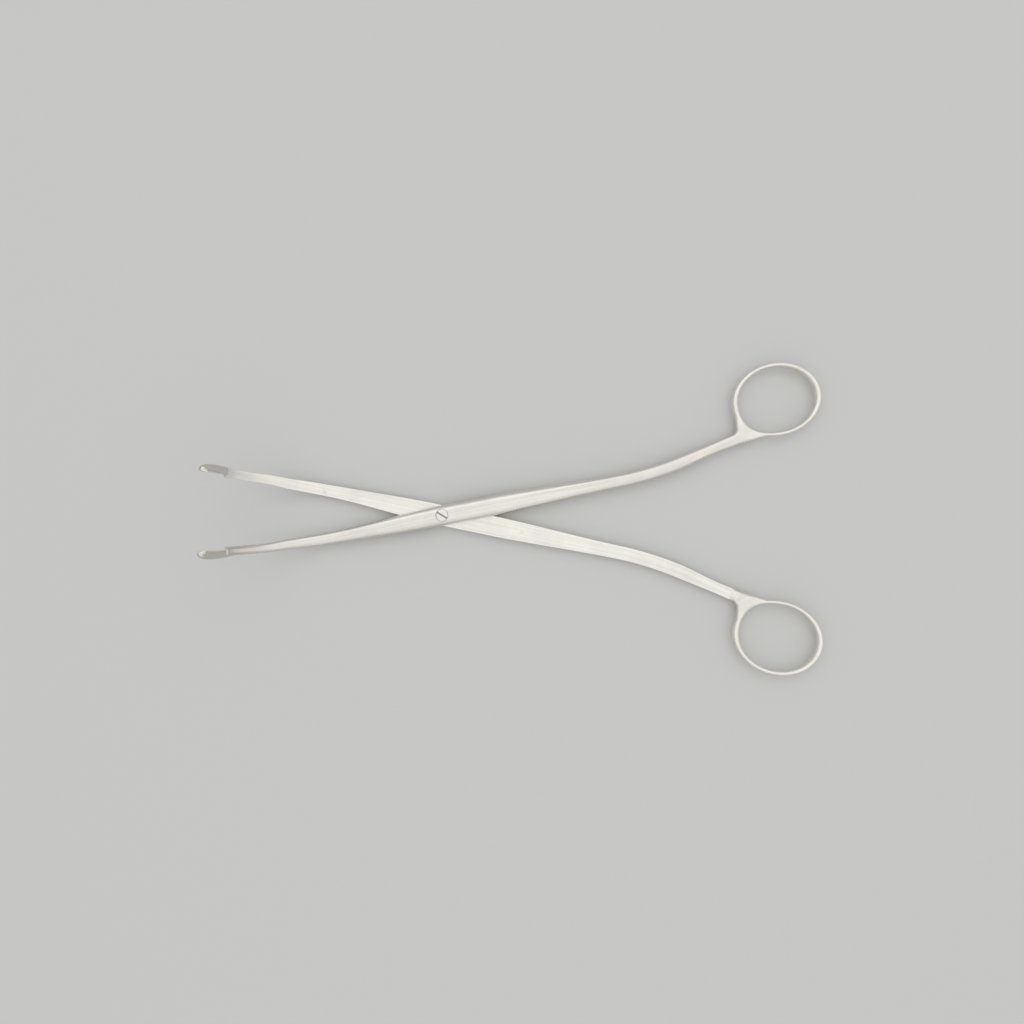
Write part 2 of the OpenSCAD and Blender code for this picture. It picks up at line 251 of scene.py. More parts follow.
def makeArmSteel():
    material, tree, shader = newMaterial("armSteel")
    place = addNode(tree, "ShaderNodeTexCoord").outputs["Object"]
    flow = attribute(tree, "flow", "Vector")
    ringFlow = attribute(tree, "ringFlow", "Vector")
    inRing = attribute(tree, "inRing")
    mask = {name: attribute(tree, name) for name in ("milled", "edge", "crevice", "jaw", "cup")}

    def marks(given):
        onArm = useGroup(tree, grindMarks, {"Flow": flow, **given})
        onRing = useGroup(tree, grindMarks, {"Flow": ringFlow, **given})
        return mixFloat(tree, inRing, onArm, onRing)

    mask["fine"] = marks(armSteel["fineMarks"])
    mask["broad"] = marks(armSteel["broadMarks"])
    mask["patches"] = useGroup(tree, handledPatches, {"Vector": place, **armSteel["patches"]})
    mask["specks"] = useGroup(tree, handledPatches, {"Vector": place, **armSteel["specks"]})
    scratches = useGroup(tree, hairScratches, {"Flow": flow, "Amount": 1.0})

    def share(name, amount):
        return math2(tree, "MULTIPLY", mask[name], amount)

    satin = math2(tree, "MAXIMUM", mask["milled"], math2(tree, "MULTIPLY", inRing, armSteel["ringSatin"]))
    color = mixColor(tree, satin, armSteel["crownColor"], armSteel["faceColor"])
    tone = None
    # the jaw's tone is painted shade; the other tones vary at random
    for name, ends in armSteel["tones"].items():
        part = spread(tree, mask[name], ends)
        tone = part if tone is None else math2(tree, "MULTIPLY", tone, part)
    color = mixColor(tree, 1.0, color, tone, "MULTIPLY")
    # convex edges made brighter: worn polish with a painted highlight
    color = mixColor(tree, share("edge", armSteel["edgeWearHighlight"]), color, armSteel["edgeColor"])
    for centre, radius in armSteel["spots"]:
        spot = useGroup(tree, rubbedSpot, {"Vector": place, "Centre": centre, "Radius": radius})
        mask["spots"] = math2(tree, "MAXIMUM", mask["spots"], spot) if "spots" in mask else spot
    stained = share("spots", armSteel["spotDirt"])
    # painted shade in concave creases and in the jaw's cup, with the real stains of the rubbed spots, darkens the
    # colour and dulls it
    stainAndShade = math2(tree, "ADD", share("crevice", armSteel["creviceShade"]), stained, clamp=True)
    stainAndShade = math2(tree, "MAXIMUM", stainAndShade, share("cup", armSteel["cupShade"]))
    color = mixColor(tree, stainAndShade, color, armSteel["stainAndShadeColor"])

    roughness = spread(tree, satin, armSteel["roughness"])
    for name, ends in armSteel["dullness"].items():
        roughness = math2(tree, "ADD", roughness, spread(tree, mask[name], ends))
    dulledByStainAndShade = math2(tree, "MULTIPLY", stainAndShade, armSteel["stainAndShadeDullness"])
    roughness = math2(tree, "ADD", roughness, dulledByStainAndShade, clamp=True)

    height = math2(tree, "ADD", share("fine", 0.6), share("broad", 0.5))
    height = math2(tree, "ADD", height, share("specks", 0.25))
    height = math2(tree, "SUBTRACT", height, math2(tree, "MULTIPLY", scratches, 0.5))
    finishMetal(tree, shader, color, roughness, height, armSteel["relief"])
    return material


# the screw: turned, polished, with a dull slot whose recess is painted dark as shade
screwSteel = {
    "color": (0.80, 0.785, 0.74, 1),
    "grooveColor": (0.5, 0.49, 0.47, 1),
    # the slot tone below is painted shade in the slot's recess
    "slotShadeColor": (0.22, 0.21, 0.195, 1),
    "grooveShare": (0.0, 0.12),
    "slotShare": 0.85,
    "roughness": (0.22, 0.32),
    "slotDullness": 0.35,
    "turnedMarks": {"Length": 1.0, "Width": 0.00009, "Detail": 2.0, "Seed": 9.0},
    "relief": {"Strength": 0.35, "Distance": 0.00001},
    "axis": (-0.0291528, 0.0, 0.0),
    "slotTop": 0.00515,
    "slotFade": 0.0004,
}


def makeScrewSteel():
    material, tree, shader = newMaterial("screwSteel")
    place = addNode(tree, "ShaderNodeTexCoord").outputs["Object"]
    centred = vectorMath(tree, "SUBTRACT", place, screwSteel["axis"])
    parts = addNode(tree, "ShaderNodeSeparateXYZ", inputs={0: centred}).outputs
    flat = addNode(tree, "ShaderNodeCombineXYZ", inputs={"X": parts["X"], "Y": parts["Y"]}).outputs[0]
    radius = vectorMath(tree, "LENGTH", flat, output="Value")
    ringFlow = addNode(tree, "ShaderNodeCombineXYZ", inputs={"Y": radius, "Z": parts["Z"]}).outputs[0]
    turned = useGroup(tree, grindMarks, {"Flow": ringFlow, **screwSteel["turnedMarks"]})
    scratches = useGroup(tree, hairScratches, {"Flow": place, "Amount": 1.0})
    top = screwSteel["slotTop"]
    deep = remap(tree, parts["Z"], top - screwSteel["slotFade"], top, 1.0, 0.0, smooth=True)
    grooves = spread(tree, turned, screwSteel["grooveShare"])
    color = mixColor(tree, grooves, screwSteel["color"], screwSteel["grooveColor"])
    # painted shade: the slot's recess darkened
    slot = math2(tree, "MULTIPLY", deep, screwSteel["slotShare"])
    color = mixColor(tree, slot, color, screwSteel["slotShadeColor"])
    dull = math2(tree, "MULTIPLY", deep, screwSteel["slotDullness"])
    roughness = math2(tree, "ADD", spread(tree, turned, screwSteel["roughness"]), dull, clamp=True)
    height = math2(tree, "SUBTRACT", turned, math2(tree, "MULTIPLY", scratches, 0.8))
    finishMetal(tree, shader, color, roughness, height, screwSteel["relief"])
    return material


armMaterial = makeArmSteel()
screwMaterial = makeScrewSteel()
print("materials ready")


def selectOnly(obj):
    bpy.ops.object.select_all(action="DESELECT")
    obj.select_set(True)
    bpy.context.view_layer.objects.active = obj


# a merged copy of a CAD node, to be finished here
def forgedCopy(nodeName, pieceName):
    obj = bpy.data.objects.new(pieceName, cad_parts[nodeName].data.copy())
    obj.data.name = pieceName
    obj.data.materials.clear()
    scene.collection.objects.link(obj)
    selectOnly(obj)
    bpy.ops.object.mode_set(mode="EDIT")
    bpy.ops.mesh.select_all(action="SELECT")
    bpy.ops.mesh.remove_doubles(threshold=0.000001)
    bpy.ops.object.mode_set(mode="OBJECT")
    return obj


def applyModifier(obj, kind, **settings):
    selectOnly(obj)
    modifier = obj.modifiers.new(kind.lower(), kind)
    for name, value in settings.items():
        setattr(modifier, name, value)
    bpy.ops.object.modifier_apply(modifier=modifier.name)


def vertexTable(obj, what):
    table = np.zeros(len(obj.data.vertices) * 3)
    if what == "place":
        obj.data.vertices.foreach_get("co", table)
    else:
        obj.data.vertex_normals.foreach_get("vector", table)
    return table.reshape(-1, 3)


# The arm's own measures, in millimetres and degrees, and how densely it is drawn. s runs along the
# arm from the screw and is above 0 towards the ring. The measures are those of the solids, but for
# the neck's flare, bury and run-out, the crotch radii in armPieces, and the powers of the ring and
# of the jaw's cup, which follow the photographed surface more closely
armShape = {
    "screwX": -29.1528, "screwZ": 2.85, "halfOpen": 9.5,
    "jointWidth": 7.2, "jointHeight": 2.8, "jointGap": 0.05, "shankGap": 0.12, "crownPower": 2.7,
    "shankStraight": 64.0, "shankBend": 123.0, "shankTurn": 12.6, "neckLength": 19.35, "shankLean": 1.94,
    "shankWidth": 4.8, "shankHeight": 2.3, "neckWidth": 3.7, "neckHeight": 2.6,
    "jointFlat": 16.0, "rearTaper": 50.0, "neckTaper": 24.0, "neckTaperRun": 18.0,
    "gapStart": 8.0, "gapRun": 12.0, "flatStop": 5.2, "flatRunout": 4.6, "neckBury": 4.6,
    "neckFlareRun": 15.0, "neckFlareRate": 0.003, "buryStart": 1.5, "neckLoss": 0.14,
    "riseStart": 40.0, "riseRadius": 40.0, "riseLength": 38.0, "frontWidth": 4.15, "stepWidth": 3.15,
    "frontHeight": 1.95, "stepHeight": 1.5, "frontLean": 2.6, "frontStraight": 29.5, "frontBow": 365.0,
    "frontJog": 0.45, "jogStart": 54.0, "jogRun": 10.0, "frontTaper": 46.0, "slimTaper": 19.0,
    "rootBury": 1.6, "buryLoss": 0.35, "flareRun": 3.5, "rootFlare": 0.5,
    "edgeRadius": 0.13, "cornerLean": 0.03, "crownPoints": 48, "bellyPoints": 24, "cornerPoints": 4,
    "riseStations": 96, "frontStations": 46, "shankStations": 72, "bendStations": 54, "neckStations": 34,
    "runoutStations": 20, "crotchStations": 24, "closest": 0.05,
}
ringShape = {
    "holeLength": 28.0, "holeWidth": 23.2, "endThickness": 2.25, "sideThickness": 1.55, "height": 3.1,
    "tilt": 4.2, "webReach": 4.2, "power": 2.5, "webPower": 3.4, "holePower": 2.4,
    "webDirection": 215.0, "neckDirection": 212.0, "webSpread": 33.0, "webExtra": 0.25,
    "webStations": 80, "loopStations": 220, "points": 48,
}
jawShape = {
    "length": 10.5, "depth": 2.9, "width": 3.8, "gap": 0.1, "rootRelief": 0.65, "stepGap": 0.2,
    "cupLength": 7.0, "cupWidth": 2.6, "cupDepth": 1.1, "cupPlace": 0.47, "cupPower": 0.7,
    "toothPitch": 1.0, "toothDepth": 0.28, "noseLength": 2.6, "noseRelief": 0.6, "noseTurns": (4, 89),
    "backPower": 2.2, "nosePower": 2.5, "tipShare": 0.74,
    "perTooth": 12, "noseStations": 30, "facePoints": 64, "backPoints": 36,
}
shape = armShape
bendEnd = shape["shankStraight"] + shape["shankBend"] * math.radians(shape["shankTurn"])
neckPlace = bendEnd + shape["neckLength"]
stepPlace = shape["riseStart"] + shape["riseLength"]


def mix(first, second, share):
    return first + (second - first) * share


def ramp(value):
    return min(max(value, 0.0), 1.0)


def ease(value):
    value = ramp(value)
    return value * value * (3 - 2 * value)


def signedPower(value, power):
    return math.copysign(abs(value) ** power, value)


# a line that starts at a heading, runs straight, bends once and runs on: x, y and heading
def bentLine(run, heading, straight, radius, turn, side):
    angle = min(max(run - straight, 0) / radius, turn)
    beyond = max(run - straight - radius * turn, 0)
    last = heading + side * angle
    ahead = min(run, straight)
    swungX = side * radius * (math.sin(last) - math.sin(heading))
    swungY = side * radius * (math.cos(heading) - math.cos(last))
    x = ahead * math.cos(heading) + swungX + beyond * math.cos(last)
    y = ahead * math.sin(heading) + swungY + beyond * math.sin(last)
    return x, y, last


# the front seen from the side: reach ahead of the screw, rise and slope
def frontProfile(run):
    slope = max(run - shape["riseStart"], 0) / shape["riseRadius"]
    reach = min(run, shape["riseStart"]) + shape["riseRadius"] * math.sin(slope)
    return reach, shape["riseRadius"] * (1 - math.cos(slope)), slope


# middle, sideways and upward direction of the arm's section in the closed forceps
def armFrame(s):
    if s >= 0:
        lean, turn = math.radians(shape["shankLean"]), math.radians(shape["shankTurn"])
        x, y, last = bentLine(s, lean, shape["shankStraight"], shape["shankBend"], turn, 1)
        return (x, y, 0), (-math.sin(last), math.cos(last), 0), (0, 0, 1)
    reach, rise, slope = frontProfile(-s)
    lean, endless = math.radians(shape["frontLean"]), math.pi / 2
    x, y, last = bentLine(reach, lean, shape["frontStraight"], shape["frontBow"], endless, -1)
    jog = shape["frontJog"] * ease((-s - shape["jogStart"]) / shape["jogRun"])
    up = (math.cos(last) * math.sin(slope), math.sin(last) * math.sin(slope), math.cos(slope))
    return (-x, -y - jog, rise), (-math.sin(last), math.cos(last), 0), up


# how much of its size the arm keeps past the step, inside the jaw
def buriedShare(run):
    return 1 - shape["buryLoss"] * ramp((run - stepPlace) / shape["rootBury"])


# width or height of the arm at s, from its sizes at the joint, shank, neck, front and step
def taper(s, joint, shank, neck, front, step):
    if s >= 0:
        size = mix(joint, shank, ease((s - shape["jointFlat"]) / shape["rearTaper"]))
        return mix(size, neck, ease((s - neckPlace + shape["neckTaper"]) / shape["neckTaperRun"]))
    size = mix(joint, front, ease(-s / shape["frontTaper"]))
    return (size + (step - front) * ramp((-s - shape["frontTaper"]) / shape["slimTaper"])) * buriedShare(-s)


# the fillet between neck and ring, a quarter circle that dies away inside the web
def crotchFlare(s, radius, lead):
    start = neckPlace - lead
    full = start + radius
    fade = ramp((s - full) / (neckPlace + shape["neckBury"] - full))
    run = ramp((s - start) / radius)
    return radius * (1 - math.sqrt(1 - run * run)) * (1 - fade)


# the outer side of the arm widens into the web of its ring, and into the root of its jaw
def neckFlare(s):
    return shape["neckFlareRate"] * max(0, s - neckPlace + shape["neckFlareRun"]) ** 2


def jawFlare(run):
    swell = ease((run - stepPlace + shape["flareRun"]) / shape["flareRun"])
    return shape["rootFlare"] * swell * buriedShare(run)


# the arm sinks a little where it ends inside the web
def neckSink(s):
    start = neckPlace + shape["buryStart"]
    return 1 - shape["neckLoss"] * ease((s - start) / (neckPlace + shape["neckBury"] - start))


# a half-round section whose inner side is flat, and which fills out to a full one in the neck
def armSection(s, piece):
    middle, side, up = armFrame(s)
    full = ease((s - neckPlace + shape["flatStop"]) / shape["flatRunout"])
    layer = piece["layer"]
    inward = crotchFlare(s, piece["crotchRadius"], piece["crotchLead"]) if s > 0 else 0
    outward = neckFlare(s) if s > 0 else jawFlare(-s)
    width = taper(s, *[shape[part + "Width"] for part in ("joint", "shank", "neck", "front", "step")])
    height = taper(
        s, shape["jointHeight"], shape["shankHeight"], shape["neckHeight"] / 2,
        shape["frontHeight"], shape["stepHeight"],
    )
    half = (width + inward + outward) / 2
    shift = (inward - outward) / 2
    opening = ease((abs(s) - shape["gapStart"]) / shape["gapRun"])
    gap = mix(shape["jointGap"], shape["shankGap"], opening) * (1 - full)
    crown = (height + shape["jointGap"] * (1 - full) - gap) * neckSink(s)
    down = full * shape["neckHeight"] / 2 * neckSink(s)
    edge = shape["edgeRadius"]
    corner = shape["cornerPoints"]
    power = 2 / shape["crownPower"]

    def rim(angle):
        rise = crown if math.sin(angle) >= 0 else down
        return half * signedPower(math.cos(angle), power), gap + rise * signedPower(math.sin(angle), power)

    def cornerRow(sign):
        row = []
        for share in np.linspace(0, 1, corner + 1):
            turn = math.pi / 2 * (share if sign < 0 else 1 - share)
            flat = (sign * (half - edge + edge * math.cos(turn)), gap + edge - edge * math.sin(turn))
            lean = shape["cornerLean"] * (2 * share - 1)
            whole = rim(math.pi + lean) if sign < 0 else rim(lean)
            row.append((mix(flat[0], whole[0], full), mix(flat[1], whole[1], full)))
        return row

    points = [rim(math.pi * step / shape["crownPoints"]) for step in range(1, shape["crownPoints"])]
    points += cornerRow(-1)
    for step in range(1, shape["bellyPoints"]):
        whole = rim(math.pi + math.pi * step / shape["bellyPoints"])
        flat = (half - edge) * (2 * step / shape["bellyPoints"] - 1)
        points.append((mix(flat, whole[0], full), whole[1]))
    points += cornerRow(1)
    return [
        [middle[axis] + side[axis] * (shift + y) + up[axis] * layer * z for axis in range(3)]
        for y, z in points
    ]


# where the arm's sections stand, from the jaw to the ring, none too close to the one before
def armStations(piece):
    flatEnd = neckPlace - shape["flatStop"]
    crotchStart = neckPlace - piece["crotchLead"]
    crotchEnd = crotchStart + piece["crotchRadius"]
    quarter = np.linspace(0, math.pi / 2, shape["crotchStations"])
    parts = [
        [-stepPlace - shape["rootBury"]],
        np.linspace(-stepPlace, -shape["riseStart"], shape["riseStations"], endpoint=False),
        np.linspace(-shape["riseStart"], 0, shape["frontStations"], endpoint=False),
        np.linspace(0, shape["shankStraight"], shape["shankStations"], endpoint=False),
        np.linspace(shape["shankStraight"], bendEnd, shape["bendStations"], endpoint=False),
        np.linspace(bendEnd, flatEnd, shape["neckStations"], endpoint=False),
        np.linspace(flatEnd, flatEnd + shape["flatRunout"], shape["runoutStations"]),
        crotchStart + piece["crotchRadius"] * np.sin(quarter),
        np.linspace(crotchEnd, neckPlace + shape["neckBury"], shape["runoutStations"]),
    ]
    stations = []
    for s in sorted(np.concatenate(parts)):
        if not stations or s - stations[-1] > shape["closest"]:
            stations.append(s)
    return stations


def ovalRadius(angle, length, width, power):
    ahead, aside = abs(math.cos(angle)) * 2 / length, abs(math.sin(angle)) * 2 / width
    return (ahead ** power + aside ** power) ** (-1 / power)


# the hole is a true oval, but for the quarter at the neck, which is a little squarer
def holeRadius(angle):
    turned = math.degrees(angle) % 360
    power = ringShape["holePower"] if 180 < turned < 270 else 2
    return ovalRadius(angle, ringShape["holeLength"], ringShape["holeWidth"], power)


def webShare(angle):
    away = (math.degrees(angle) % 360 - ringShape["webDirection"]) / ringShape["webSpread"]
    return math.cos(math.pi / 2 * away) ** 3 if abs(away) < 1 else 0


def outerRadius(angle):
    length = ringShape["holeLength"] + 2 * ringShape["endThickness"]
    width = ringShape["holeWidth"] + 2 * ringShape["sideThickness"]
    return ovalRadius(angle, length, width, 2) + ringShape["webReach"] * webShare(angle)


neckEnd = armFrame(neckPlace)[0]
neckTurn = math.radians(ringShape["neckDirection"])
ringTilt = math.radians(ringShape["tilt"])
ringMiddle = (
    neckEnd[0] - outerRadius(neckTurn) * math.cos(neckTurn + ringTilt),
    neckEnd[1] - outerRadius(neckTurn) * math.sin(neckTurn + ringTilt),
)


def ringSection(angle):
    inner, outer, share = holeRadius(angle), outerRadius(angle), webShare(angle)
    halfHeight = mix(ringShape["height"], shape["neckHeight"] + ringShape["webExtra"], share) / 2
    power = 2 / mix(ringShape["power"], ringShape["webPower"], share)
    section = []
    for step in range(ringShape["points"]):
        turn = -2 * math.pi * step / ringShape["points"]
        radius = (inner + outer) / 2 + (outer - inner) / 2 * signedPower(math.cos(turn), power)
        x = ringMiddle[0] + radius * math.cos(angle + ringTilt)
        y = ringMiddle[1] + radius * math.sin(angle + ringTilt)
        section.append([x, y, halfHeight * signedPower(math.sin(turn), power)])
    return section


def ringAngles():
    start = math.radians(ringShape["webDirection"] - ringShape["webSpread"])
    end = math.radians(ringShape["webDirection"] + ringShape["webSpread"])
    web = np.linspace(start, end, ringShape["webStations"], endpoint=False)
    loop = np.linspace(end, start + 2 * math.pi, ringShape["loopStations"], endpoint=False)
    return np.concatenate([web, loop])


def noseRun(t):
    return ramp((t - jawShape["length"] + jawShape["noseLength"]) / jawShape["noseLength"])


# how far the jaw's biting side stands off the middle plane, t millimetres past the step
def jawFace(t):
    relief = jawShape["rootRelief"] * (1 - t / jawShape["length"])
    return jawShape["gap"] + relief + jawShape["noseRelief"] * noseRun(t) ** 2


rootDepth = shape["stepWidth"] / 2 + shape["rootFlare"] - armFrame(-stepPlace)[0][1] - jawFace(0)


# the jaw: a curved half-round bar, cupped and toothed on the side that bites
def jawSection(t, notch):
    reach, rise, slope = frontProfile(stepPlace + t)
    bulge = math.sin(math.pi * ramp(t / jawShape["length"]))
    nose = (1 - noseRun(t) ** jawShape["nosePower"]) ** (1 / jawShape["nosePower"])
    half = mix(shape["stepHeight"] + shape["jointGap"], jawShape["width"] / 2, bulge) * nose
    straight = mix(rootDepth, jawShape["depth"] * jawShape["tipShare"], t / jawShape["length"])
    back = mix(straight, jawShape["depth"], bulge) * nose
    section = []
    for step in range(jawShape["facePoints"] + 1):
        n = half * (1 - 2 * step / jawShape["facePoints"])
        along = (t - jawShape["length"] * jawShape["cupPlace"]) * 2 / jawShape["cupLength"]
        inside = 1 - along ** 2 - (n * 2 / jawShape["cupWidth"]) ** 2
        cup = jawShape["cupDepth"] * inside ** jawShape["cupPower"] if inside > 0 else 0
        section.append((-jawFace(t) - max(notch, cup), n))
    for step in range(1, jawShape["backPoints"]):
        turn = math.pi * (step / jawShape["backPoints"] - 0.5)
        power = 2 / jawShape["backPower"]
        n = half * signedPower(math.sin(turn), power)
        section.append((-jawFace(t) - back * math.cos(turn) ** power, n))
    return [[-reach + math.sin(slope) * n, y, rise + math.cos(slope) * n] for y, n in section]


# each row across the jaw: how far past the step, and how deep in a notch between two teeth
def jawRows():
    pitch = jawShape["toothPitch"]
    teeth = math.floor((jawShape["length"] - jawShape["noseLength"] - jawShape["stepGap"]) / pitch)
    rows = []
    for step in range(teeth * jawShape["perTooth"] + 1):
        teethPassed = step / jawShape["perTooth"]
        notch = jawShape["toothDepth"] * (1 - abs(2 * (teethPassed % 1) - 1))
        rows.append((jawShape["stepGap"] + pitch * teethPassed, notch))
    for turn in np.linspace(*np.radians(jawShape["noseTurns"]), jawShape["noseStations"]):
        rows.append((jawShape["length"] - jawShape["noseLength"] * (1 - math.sin(turn)), 0))
    return rows


# a flat grid wrapped round a row of sections, given in millimetres
def wrapGrid(name, sections, closed):
    rows = [section + section[:1] for section in sections]
    rows = rows + rows[:1] if closed else rows
    across, along = len(rows[0]) - 1, len(rows) - 1
    bpy.ops.object.select_all(action="DESELECT")
    bpy.ops.mesh.primitive_grid_add(x_subdivisions=across, y_subdivisions=along, size=0.01, calc_uvs=False)
    obj = bpy.context.active_object
    obj.name = name
    obj.data.vertices.foreach_set("co", (np.array(rows) * 0.001).ravel())
    bpy.ops.object.mode_set(mode="EDIT")
    bpy.ops.mesh.select_all(action="SELECT")
    bpy.ops.mesh.remove_doubles(threshold=0.0000001)
    if not closed:
        bpy.ops.mesh.fill_holes(sides=0)
    bpy.ops.mesh.select_all(action="SELECT")
    bpy.ops.mesh.normals_make_consistent(inside=False)
    bpy.ops.object.mode_set(mode="OBJECT")
    return obj


# joins another closed form to this one, or cuts it out, and clears the other away
def forge(obj, other, operation):
    applyModifier(obj, "BOOLEAN", object=other, operation=operation, solver="MANIFOLD")
    bpy.data.objects.remove(other)


# an upright drill of this diameter, from low to high, in millimetres
def addDrill(diameter, low, high):
    bpy.ops.object.select_all(action="DESELECT")
    bpy.ops.mesh.primitive_cylinder_add(
        vertices=128, radius=diameter * 0.0005, depth=(high - low) * 0.001, location=(0, 0, (high + low) * 0.0005)
    )
    bpy.ops.object.transform_apply(location=True, rotation=True, scale=True)
    return bpy.context.active_object


# the block that clears room ahead of the step for the other jaw
def addStepCutter():
    reach, rise, slope = frontProfile(stepPlace)
    length, height, depth = 3 * shape["rootBury"], 4 * shape["jointHeight"], 2 * shape["stepWidth"]
    bpy.ops.object.select_all(action="DESELECT")
    bpy.ops.mesh.primitive_cube_add(size=1, location=(0, 0, 0))
    obj = bpy.context.active_object
    corners = vertexTable(obj, "place") * np.array([length, depth, height])
    corners += np.array([-length / 2, depth / 2, 0])
    turned = corners.copy()
    turned[:, 0] = corners[:, 0] * math.cos(slope) + corners[:, 2] * math.sin(slope)
    turned[:, 2] = -corners[:, 0] * math.sin(slope) + corners[:, 2] * math.cos(slope)
    turned += np.array([-reach, -jawFace(0), rise])
    obj.data.vertices.foreach_set("co", (turned * 0.001).ravel())
    return obj


def smoothShare(values, low, high):
    share = np.clip((values - low) / (high - low), 0, 1)
    return share * share * (3 - 2 * share)


# distance along the arm, sideways and out from the parting face, and how the surface faces it
def followArm(places, normals, layer):
    x, y, z = places[:, 0], places[:, 1], places[:, 2]
    lean, last = math.radians(shape["shankLean"]), math.radians(shape["shankTurn"])
    straight, bend = shape["shankStraight"], shape["shankBend"]
    ahead = x * math.cos(lean) + y * math.sin(lean)
    aside = -x * math.sin(lean) + y * math.cos(lean)
    swing = np.clip(np.arctan2(ahead - straight, bend - aside), 0, last)
    pastX = ahead - straight - bend * np.sin(swing)
    pastY = aside - bend * (1 - np.cos(swing))
    past = pastX * np.cos(swing) + pastY * np.sin(swing)
    bent = ahead >= straight
    rearAlong = np.where(bent, straight + bend * swing + past, ahead)
    rearAside = np.where(bent, -pastX * np.sin(swing) + pastY * np.cos(swing), aside)

    reach = -x
    rise = shape["riseRadius"]
    over = reach - shape["riseStart"]
    slope = np.where(over > 0, np.arctan2(over, rise - z), 0.0)
    frontAlong = np.where(over > 0, shape["riseStart"] + rise * slope, reach)
    frontOut = np.where(over > 0, rise - np.hypot(over, rise - z), z)
    frontAside = y + reach * math.sin(math.radians(shape["frontLean"]))

    front = x < 0
    tilted = normals[:, 0] * np.sin(slope) + normals[:, 2] * np.cos(slope)
    along = np.where(front, -frontAlong, rearAlong)
    across = np.where(front, frontAside, rearAside)
    out = layer * np.where(front, frontOut, z)
    faceOut = layer * np.where(front, tilted, normals[:, 2])
    return along, across, out, faceOut


# distance round the finger ring, and outwards from the middle of its bar
def followRing(places):
    x, y = places[:, 0] - ringMiddle[0], places[:, 1] - ringMiddle[1]
    u = x * math.cos(ringTilt) + y * math.sin(ringTilt)
    v = -x * math.sin(ringTilt) + y * math.cos(ringTilt)
    length = (ringShape["holeLength"] + ringShape["endThickness"]) / 2
    width = (ringShape["holeWidth"] + ringShape["sideThickness"]) / 2
    mean = (length + width) / 2
    return np.arctan2(v / width, u / length) * mean, (np.hypot(u / length, v / width) - 1) * mean


def storeFloat(obj, name, values):
    layer = obj.data.attributes.new(name, "FLOAT", "POINT")
    layer.data.foreach_set("value", values.astype(np.float32))


def storeVector(obj, name, values):
    layer = obj.data.attributes.new(name, "FLOAT_VECTOR", "POINT")
    layer.data.foreach_set("vector", values.astype(np.float32).ravel())


def weightGroup(obj, name, weights, levels=20):
    group = obj.vertex_groups.new(name=name)
    steps = np.round(np.clip(weights, 0, 1) * levels).astype(int)
    for step in range(1, levels + 1):
        members = np.nonzero(steps == step)[0].tolist()
        if members:
            group.add(members, step / levels, "REPLACE")


# how strongly the surface is rounded at each vertex: above 0 on edges, below 0 in corners, per metre
def bendOfSurface(obj, rounds):
    places = vertexTable(obj, "place")
    normals = vertexTable(obj, "normal")
    edges = np.zeros(len(obj.data.edges) * 2, dtype=np.int64)
    obj.data.edges.foreach_get("vertices", edges)
    first, second = edges.reshape(-1, 2).T
    count = np.maximum(np.bincount(np.concatenate([first, second]), minlength=len(places)), 1)
    step = places[second] - places[first]
    square = np.maximum((step ** 2).sum(1), 1e-12)
    lean = (step * (normals[second] - normals[first])).sum(1) / square

    def gather(atFirst, atSecond):
        return (np.bincount(first, atFirst, len(places)) + np.bincount(second, atSecond, len(places))) / count

    bend = gather(lean, lean)
    for _ in range(rounds):
        bend = (bend + gather(bend[second], bend[first])) / 2
    return bend * 2


armPieces = {
    "upperArm": {"node": "upper_arm", "body": "upper", "layer": 1, "crotchRadius": 2.0, "crotchLead": 1.6},
    "lowerArm": {"node": "lower_arm", "body": "lower", "layer": -1, "crotchRadius": 3.4, "crotchLead": 2.5},
}
# Places along the arm are in millimetres from the neck's end or the step. Bends are per metre
armFinish = {
    "blendIn": (-1.2, -0.2), "blendOut": (4.6, 6.2), "blendReach": 7, "blendRounds": 24,
    "milledFacing": (0.75, 0.92), "milledDepth": 0.6, "milledEnd": (-1.6, -0.6), "milledStep": (0, 0.2),
    "ringFrom": (-1.5, 2.5), "jawFrom": (-14, 1), "cupFrom": (0.1, 0.6), "cupRim": (0.0, 0.2), "cupFloor": 0.2,
    "bendRounds": 3, "edgeFrom": (1300.0, 3380.0), "cornerFrom": (900.0, 2610.0), "sharpAngle": 38,
}
boreShape = {"turning": 3.06, "pressed": 3.0, "head": 4.44, "seat": 1.408, "past": 6, "short": 4}


# clear through the arm on top, with room for the screw's head, and tight in the one below
def cutBore(obj, layer):
    past, short = boreShape["past"], boreShape["short"]
    if layer > 0:
        forge(obj, addDrill(boreShape["turning"], -short, past), "DIFFERENCE")
        forge(obj, addDrill(boreShape["head"], boreShape["seat"], past), "DIFFERENCE")
    else:
        forge(obj, addDrill(boreShape["pressed"], -past, short), "DIFFERENCE")


# 1 deep in the jaw's cup, 0 on its rim and everywhere else
def cupShare(places):
    over = -places[:, 0] - shape["riseStart"]
    slope = np.arctan2(over, shape["riseRadius"] - places[:, 2])
    t = shape["riseStart"] + shape["riseRadius"] * slope - stepPlace
    relief = jawShape["rootRelief"] * (1 - t / jawShape["length"])
    depth = -places[:, 1] - jawShape["gap"] - relief
    n = shape["riseRadius"] - np.hypot(over, shape["riseRadius"] - places[:, 2])
    inside = 1 - ((t - jawShape["length"] * jawShape["cupPlace"]) * 2 / jawShape["cupLength"]) ** 2
    inside = inside - (n * 2 / jawShape["cupWidth"]) ** 2
    share = smoothShare(depth, *armFinish["cupFrom"]) * smoothShare(inside, *armFinish["cupRim"])
    return share * (depth < jawShape["cupDepth"] + armFinish["cupFloor"]) * (t > 0)


